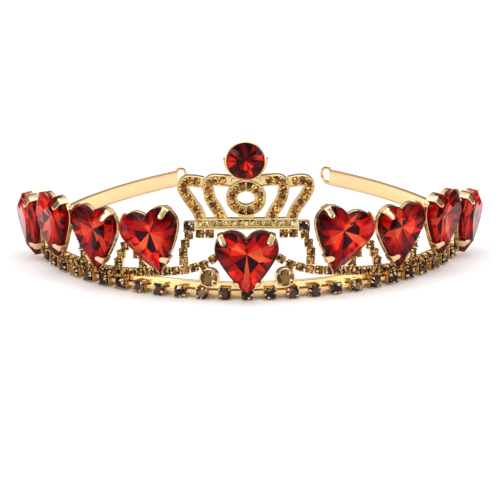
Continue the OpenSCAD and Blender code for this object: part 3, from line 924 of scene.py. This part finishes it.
def heart_back(piece, place, turn):
    """Foiled back under the glass: a shallow cut bowl whose facets take different tones, painted light and
    dark reflections.
    """
    rim = heart_points(-0.55, FACET_HALF)
    count = len(rim)
    n = count // 2
    mid = about_middle([rim[2 * i + 1] for i in range(n)], 0.56)
    floor_z = 0.82
    rim_z = 2.35
    mid_z = 1.5
    step = 0.35
    deepest = (0, -1.6, 0.98)
    verts = [Vector(p) for p in lifted(about_middle(rim, BACK_SCALE), floor_z)]
    verts += [Vector(p) for p in lifted(rim, rim_z)]
    verts += [Vector((p.x, p.y, mid_z + (step if i % 2 else 0.0))) for i, p in enumerate(mid)]
    verts.append(Vector(deepest))
    faces = [tuple(range(count))]
    marks = [DEEP]
    for i in range(count):
        j = (i + 1) % count
        faces.append((i, j, count + j, count + i))
        marks.append(MID)
    low = 2 * count
    centre = low + n
    for i in range(n):
        a = count + 2 * i
        b = count + (2 * i + 1) % count
        c = count + (2 * i + 2) % count
        m = low + i
        onward = low + (i + 1) % n
        faces += [(a, b, m), (b, c, m), (m, c, onward)]
        faces.append((m, onward, centre))
        marks += BACK_REFLECTION_TONES[(i + turn) % len(BACK_REFLECTION_TONES)]
    piece.add((verts, faces), place, marks)


def heart_crystal(name, node, place, turn):
    crystal = Piece()
    heart_shell(crystal, place)
    heart_back(crystal, place, turn)
    materials = [finishes[key] for key in HEART_TONES]
    crystal.finish(name, [node], materials, CRYSTAL_CREASE)


def hearts():
    middle = at_ring(0, FRONT_R, CENTRE_Z)
    heart_setting("centre_heart_tray", "centre_heart_setting", middle, 0)
    heart_crystal("centre_heart_stone", "centre_heart_crystal", middle, 0)
    for side, word in ((-1, "left"), (1, "right")):
        for number in HEARTS:
            stem = "%s_heart_%d" % (word, number)
            place = at_heart(side, number)
            post = at_ring(side * POST[0], BAND_OUT, POST[1]) if number == 1 else None
            heart_setting(stem + "_tray", stem + "_setting", place, -side, post)
            heart_crystal(stem + "_stone", stem + "_crystal", place, BACK_TURNS[side][number - 1])


# ---- crown plate ------------------------------------------------------------

def arc_points(centre, radius, first, last, steps):
    turns = [math.radians(first + (last - first) * i / steps) for i in range(steps + 1)]
    return [Vector((centre[0] + radius * math.cos(a), centre[1] + radius * math.sin(a))) for a in turns]


def smooth_line(points, steps=4):
    """Smooth curve through the points."""
    points = [Vector(p) for p in points]
    last = len(points) - 1
    line = []
    for i in range(last):
        a, b, c, d = points[max(i - 1, 0)], points[i], points[i + 1], points[min(i + 2, last)]
        for k in range(steps):
            t = k / steps
            line.append(0.5 * (2 * b + t * (c - a) + t * t * (2 * a - 5 * b + 4 * c - d)
                               + t * t * t * (3 * b - a - 3 * c + d)))
    return line + [points[-1]]


def strap_lines():
    outer = smooth_line([(12.3, 23.5), (13.2, 26.0), (14.7, 28.3), (16.2, 30.5), (17.25, 32.6)])
    outer += arc_points((15.55, 32.95), 1.75, 8, 98, 5) + [Vector((13.6, 34.55)), Vector((11.6, 34.1))]
    inner = smooth_line([(6.5, 23.5), (7.4, 25.6), (8.7, 27.6), (9.8, 29.8), (10.3, 32.5)])
    inner += arc_points((8.6, 33.1), 1.75, 8, 98, 5) + [Vector((5.3, 34.65)), Vector((3.9, 34.4))]
    return outer, inner


def along(line, distance):
    for a, b in zip(line, line[1:]):
        step = (b - a).length
        if distance <= step:
            return a.lerp(b, distance / step)
        distance -= step
    return line[-1]


def channel_section(width, floor, top):
    """U-shaped section: a floor between two raised, rounded rims."""
    h = width / 2
    rim = 0.4
    return [(-h, 0), (h, 0), (h, top - 0.12), (h - 0.1, top), (h - rim + 0.1, top), (h - rim, top - 0.12),
            (h - rim, floor), (-h + rim, floor), (-h + rim, top - 0.12), (-h + rim - 0.1, top),
            (-h + 0.1, top), (-h, top - 0.12)]


def flat3(points):
    return [(p[0], p[1], 0) for p in points]


def pave(stones, grains, places, sizes, start):
    """Round stones in a row, numbered from start, with grains of metal between them."""
    radius, grain_out = sizes
    floor = PLATE_T - CHANNEL_D
    front = on_plane(PLATE_BACK)
    for i, p in enumerate(places):
        place = front @ Matrix.Translation((p[0], p[1], floor))
        cut_stone(stones, radius, place, start + i, low=0.0, mid=0.34, high=0.74, sides=6, table=0.58)
    for a, b in zip(places, places[1:]):
        middle = (Vector(a) + Vector(b)) / 2
        run = (Vector(b) - Vector(a)).normalized()
        for out in (-grain_out, grain_out):
            p = middle + out * Vector((-run.y, run.x))
            grains.add(bead(0.36), front @ Matrix.Translation((p.x, p.y, floor + 0.42)))


def crown_plate():
    plate = Piece()
    stones = Piece()
    bar_stones = Piece()
    front = on_plane(PLATE_BACK)
    floor = PLATE_T - CHANNEL_D
    up = (0, 0, 1)
    section = channel_section(STRAP_W, floor, PLATE_T)
    flip = Matrix.Scale(-1, 4, (1, 0, 0))
    start = 0
    for line, first in zip(strap_lines(), (OUTER_FIRST, INNER_FIRST)):
        for mirror in (Matrix.Identity(4), flip):
            plate.add(sweep(flat3(line), up, section), front @ mirror)
            places = [mirror @ along(line, first + i * PAVE_PITCH).to_3d() for i in range(STRAP_STONES)]
            pave(stones, plate, [(p.x, p.y) for p in places], STRAP_PAVE, start)
            start += STRAP_STONES
    ring = [(RING_X * math.cos(math.tau * i / 48), RING_MID[1] + RING_Z * math.sin(math.tau * i / 48))
            for i in range(48)]
    plate.add(sweep(flat3(ring), up, section, closed=True), front)
    turns = [math.tau * (i + 0.5) / RING_STONES for i in range(RING_STONES)]
    places = [(RING_X * math.cos(a), RING_MID[1] + RING_Z * math.sin(a)) for a in turns]
    pave(stones, plate, places, RING_PAVE, start)
    bar_mid = BAR_Z + BAR_H / 2
    bar = channel_section(BAR_H, floor, PLATE_T)
    plate.add(sweep(flat3([(-BAR_X, bar_mid), (BAR_X, bar_mid)]), up, bar), front)
    places = [(i * BAR_PITCH, bar_mid) for i in range(-BAR_EACH_SIDE, BAR_EACH_SIDE + 1)]
    pave(bar_stones, plate, places, BAR_PAVE, 3)
    # The foot under the ring and the crest above it
    for width, height, middle in ((4.4, 3.0, 24.6), (8.0, 1.6, 34.4)):
        pad = rounded_section(width, height, 0.3)
        plate.add(stack([[(x, y + middle, z) for x, y in pad] for z in (0.0, floor)]), front)
    plate.finish("crown_plate_casting", ["crown_plate"], [finishes["cast"]])
    stones.finish(
        "crown_plate_pave", ["crown_plate_stones"], tones("amber"), STONE_CREASE)
    bar_stones.finish(
        "crown_bar_pave", ["crown_bar_stones"], tones("pale"), STONE_CREASE)


# ---- finial -----------------------------------------------------------------

def finial_bezel(place):
    r = BEZEL_D / 2
    seat = FINIAL_D / 2
    profile = [(r - 1.0, 0), (r - 0.85, 0.12), (r - 0.05, 2.1), (r, BEZEL_H - 0.12), (r - 0.1, BEZEL_H),
               (seat + 0.08, BEZEL_H), (seat + 0.05, 2.2), (seat - 0.3, 2.15), (seat - 0.9, 0.5),
               (0.4, 0.5), (0.4, 0)]
    bezel = Piece()
    bezel.add(turned(profile, 64, loop=True), place)
    bezel.finish("finial_bezel_cup", ["finial_bezel"], [finishes["bright"]])


def finial_cradle(place):
    """Half ring of flat strip that the bezel sits in."""
    middle_r = CRADLE_R - 0.27
    path = []
    for i in range(49):
        a = math.pi + math.pi * i / 48
        path.append((middle_r * math.cos(a), middle_r * math.sin(a) + CRADLE_RISE, 1.2))
    cradle = Piece()
    cradle.add(sweep(path, (0, 0, 1), rounded_section(0.5, 1.96, 0.14, 2)), place)
    cradle.finish("finial_half_ring", ["finial_cradle"], [finishes["bright"]])


# Finishes of the finial's crystal, then the numbers of those round its back, which paint its light and
# dark reflections
WINE_TONES = ["wine_glass", "wine_spark", "wine_light", "wine_mid", "wine_dark"]
WINE_RIM = (1, 4, 2, 4, 3, 4, 2, 1, 1, 4, 3, 4, 2, 3, 4, 3)
WINE_MID = (2, 4, 4, 3, 4, 3, 4, 2, 3, 4, 4, 3, 1, 4, 3, 4)
WINE_MIDDLE = (3, 4, 4, 3, 4, 4, 3, 4, 4, 3, 2, 1, 2, 1, 2, 4)
WINE_SIDES = 16


def finial_back(crystal, place, seat):
    """Foiled back: a ring of facets at the rim, one further in, and one that meets in the middle, toned
    with painted reflections.
    """
    n = WINE_SIDES
    floor_z = 2.28
    rim_z = 2.74
    mid_z = 2.60
    step = 0.2
    middle_z = 2.36
    rim = cut_points(seat - 0.25, n, 0.0)
    mid = cut_points(seat * 0.5, n, 0.0, math.pi / n)
    verts = [Vector((x, y, floor_z)) for x, y in rim]
    verts += [Vector((x, y, rim_z)) for x, y in rim]
    verts += [Vector((p[0], p[1], mid_z - (step if i % 2 else 0))) for i, p in enumerate(mid)]
    verts.append(Vector((0, 0, middle_z)))
    faces = [tuple(range(n))]
    marks = [4]
    for i in range(n):
        j = (i + 1) % n
        faces.append((i, j, n + j, n + i))
        faces.append((n + i, n + j, 2 * n + i))
        faces.append((n + j, 2 * n + j, 2 * n + i))
        faces.append((2 * n + i, 2 * n + j, 3 * n))
        marks += [4, WINE_RIM[i], WINE_MID[i], WINE_MIDDLE[i]]
    crystal.add((verts, faces), place, marks)


def finial():
    place = on_plane(FINIAL_BACK) @ Matrix.Translation((0, FINIAL_Z, 0))
    finial_bezel(place)
    finial_cradle(place)
    seat = FINIAL_D / 2
    crystal = Piece()
    girdle = cut_points(seat - 0.02, 2 * WINE_SIDES, 0.0)
    table = cut_points(seat * 0.58, WINE_SIDES, 0.0)
    verts, faces, _ = cut_crown(girdle, table, 2.22, 2.8, 4.2)
    crystal.add((verts, faces), place, 0)
    finial_back(crystal, place, seat)
    materials = [finishes[key] for key in WINE_TONES]
    crystal.finish("finial_stone", ["finial_crystal"], materials, CRYSTAL_CREASE)


# ---- studio -----------------------------------------------------------------

def studio_floor():
    material = bpy.data.materials.new("studio_floor_paper")
    tree = Tree(material)
    surface = tree.node("ShaderNodeBsdfPrincipled", inputs={
        "Base Color": (0.91, 0.905, 0.905, 1),
        "Roughness": 0.7,
    })
    tree.raw("ShaderNodeOutputMaterial", inputs={"Surface": surface})
    mesh = bpy.data.meshes.new("studio_floor")
    far = 6.0
    mesh.from_pydata([(-far, -far, 0), (far, -far, 0), (far, far, 0), (-far, far, 0)], [], [(0, 1, 2, 3)])
    mesh.materials.append(material)
    floor = bpy.data.objects.new("studio_floor", mesh)
    floor.location.z = -0.0001
    bpy.context.scene.collection.objects.link(floor)


def studio_world():
    """White surround for the eye and for soft light, with darker walls in reflections."""
    world = bpy.data.worlds.new("studio_surround")
    bpy.context.scene.world = world
    tree = Tree(world)
    path = tree.raw("ShaderNodeLightPath")
    direction = tree.node("ShaderNodeTexCoord", output=0)
    height = tree.node("ShaderNodeSeparateXYZ", inputs={0: direction}, output=2)
    walls = tree.node("ShaderNodeValToRGB", {"stops": [
        (0.0, (0.8, 0.8, 0.8)), (0.47, (0.6, 0.6, 0.6)), (0.54, (0.10, 0.095, 0.09)),
        (0.72, (0.30, 0.30, 0.30)), (0.90, (1.0, 1.0, 1.0)),
    ]}, {0: 0.5 + 0.5 * height})
    plain = tree.node("ShaderNodeMath", {"operation": "MAXIMUM"}, {
        0: Wire(tree, path.outputs["Is Camera Ray"]),
        1: Wire(tree, path.outputs["Is Diffuse Ray"]),
    })
    colour = tree.blend(plain, walls, (1.0, 1.0, 1.0))
    light = tree.node("ShaderNodeBackground", inputs={0: colour, 1: 1.0})
    tree.raw("ShaderNodeOutputWorld", inputs={"Surface": light})


def soft_box(name, place, target, size, watts):
    data = bpy.data.lights.new(name, "AREA")
    data.shape = "RECTANGLE"
    data.size = size[0]
    data.size_y = size[1]
    data.energy = watts
    lamp = bpy.data.objects.new(name, data)
    lamp.location = place
    lamp.rotation_euler = (Vector(target) - Vector(place)).to_track_quat("-Z", "Y").to_euler()
    bpy.context.scene.collection.objects.link(lamp)


def studio_lights():
    aim = (0, 0, 0.02)
    soft_box("soft_box_above", (0.0, -0.15, 0.75), aim, (0.9, 0.5), 2.6)
    soft_box("soft_box_left", (-0.7, -0.65, 0.35), aim, (0.28, 0.5), 2.4)
    soft_box("soft_box_right", (0.75, -0.55, 0.30), aim, (0.22, 0.5), 1.6)
    soft_box("soft_box_front", (0.15, -1.3, 0.75), aim, (0.45, 0.25), 1.6)


def camera():
    """Low, in front of the tiara and from far off."""
    elevation = math.radians(15.88)
    yaw = math.radians(1.03)
    roll = math.radians(-0.65)
    distance = 1.134
    target = Vector((0.82, -57.2, 13.6)) * MM
    back = Vector((math.sin(yaw) * math.cos(elevation), -math.cos(yaw) * math.cos(elevation),
                   math.sin(elevation)))
    right = (-back).cross(Vector((0, 0, 1))).normalized()
    upward = right.cross(-back)
    x_axis = math.cos(roll) * right + math.sin(roll) * upward
    y_axis = -math.sin(roll) * right + math.cos(roll) * upward
    turn = Matrix((x_axis, y_axis, back)).transposed().to_4x4()
    data = bpy.data.cameras.new("studio_camera")
    data.sensor_width = 36.0
    data.lens = 296.6976
    data.clip_start = 0.05
    data.clip_end = 50.0
    made = bpy.data.objects.new("studio_camera", data)
    made.matrix_world = Matrix.Translation(target + back * distance) @ turn
    bpy.context.scene.collection.objects.link(made)
    bpy.context.scene.camera = made


headband()
end_loop(-1, "left")
end_loop(1, "right")
base_chain()
fine_chains()
corner_stones()
drop_stones()
hearts()
crown_plate()
finial()
studio_floor()
studio_world()
studio_lights()
camera()
bpy.context.scene.view_settings.view_transform = "Standard"
